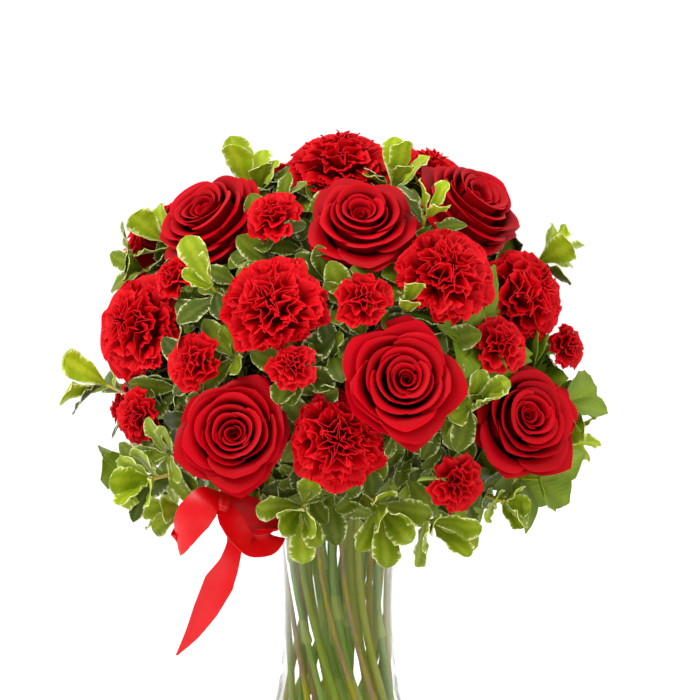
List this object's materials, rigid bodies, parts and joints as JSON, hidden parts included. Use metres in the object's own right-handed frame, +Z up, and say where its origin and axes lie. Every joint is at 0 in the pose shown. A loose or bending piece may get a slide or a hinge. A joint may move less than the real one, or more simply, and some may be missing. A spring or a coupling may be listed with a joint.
{
  "type": "roses and carnations in a vase",
  "caption": "Round bouquet of open red roses, ruffled carnations and mini carnations with variegated foliage and a satin bow, in a flared clear glass vase of water.",
  "frame": {"origin": "centre of the vase's flat underside, on the surface it stands on", "axes": "+Z up along the vase's axis, -Y towards the front of the arrangement, where the bow hangs at the left, and +X to its right"},
  "size_m": [0.3783, 0.3243, 0.4529],
  "materials": {
    "clear_glass": "gloss",
    "water": "gloss",
    "rose_petals": "satin",
    "carnation_petals": "matte",
    "green_stems": "satin",
    "variegated_leaves": "satin",
    "broad_leaves": "satin",
    "red_satin_ribbon": "satin"
  },
  "bodies": {
    "root": {"vase": "clear_glass", "water": "water", "ribbon_bow": "red_satin_ribbon", "rose_1": "rose_petals", "rose_2": "rose_petals", "rose_3": "rose_petals", "rose_4": "rose_petals", "rose_5": "rose_petals", "rose_6": "rose_petals", "rose_7": "rose_petals", "rose_8": "rose_petals", "rose_9": "rose_petals", "carnation_1": "carnation_petals", "carnation_2": "carnation_petals", "carnation_3": "carnation_petals", "carnation_4": "carnation_petals", "carnation_5": "carnation_petals", "carnation_6": "carnation_petals", "carnation_7": "carnation_petals", "carnation_8": "carnation_petals", "carnation_9": "carnation_petals", "carnation_10": "carnation_petals", "carnation_11": "carnation_petals", "carnation_12": "carnation_petals", "mini_1": "carnation_petals", "mini_2": "carnation_petals", "mini_3": "carnation_petals", "mini_4": "carnation_petals", "mini_5": "carnation_petals", "mini_6": "carnation_petals", "mini_7": "carnation_petals", "mini_8": "carnation_petals", "mini_9": "carnation_petals", "mini_10": "carnation_petals", "mini_11": "carnation_petals", "mini_12": "carnation_petals", "stem_of_rose_1": "green_stems", "stem_of_rose_2": "green_stems", "stem_of_rose_3": "green_stems", "stem_of_rose_4": "green_stems", "stem_of_rose_5": "green_stems", "stem_of_rose_6": "green_stems", "stem_of_rose_7": "green_stems", "stem_of_rose_8": "green_stems", "stem_of_rose_9": "green_stems", "carnation_stems": "green_stems", "spray_stem_1": "green_stems", "spray_stem_2": "green_stems", "spray_stem_3": "green_stems", "spray_stem_4": "green_stems", "pittosporum_1": "variegated_leaves", "pittosporum_2": "variegated_leaves", "pittosporum_3": "variegated_leaves", "pittosporum_4": "variegated_leaves", "pittosporum_5": "variegated_leaves", "pittosporum_6": "variegated_leaves", "pittosporum_7": "variegated_leaves", "pittosporum_8": "variegated_leaves", "broad_leaves_1": "broad_leaves", "broad_leaves_2": "broad_leaves"}
  },
  "joints": []
}
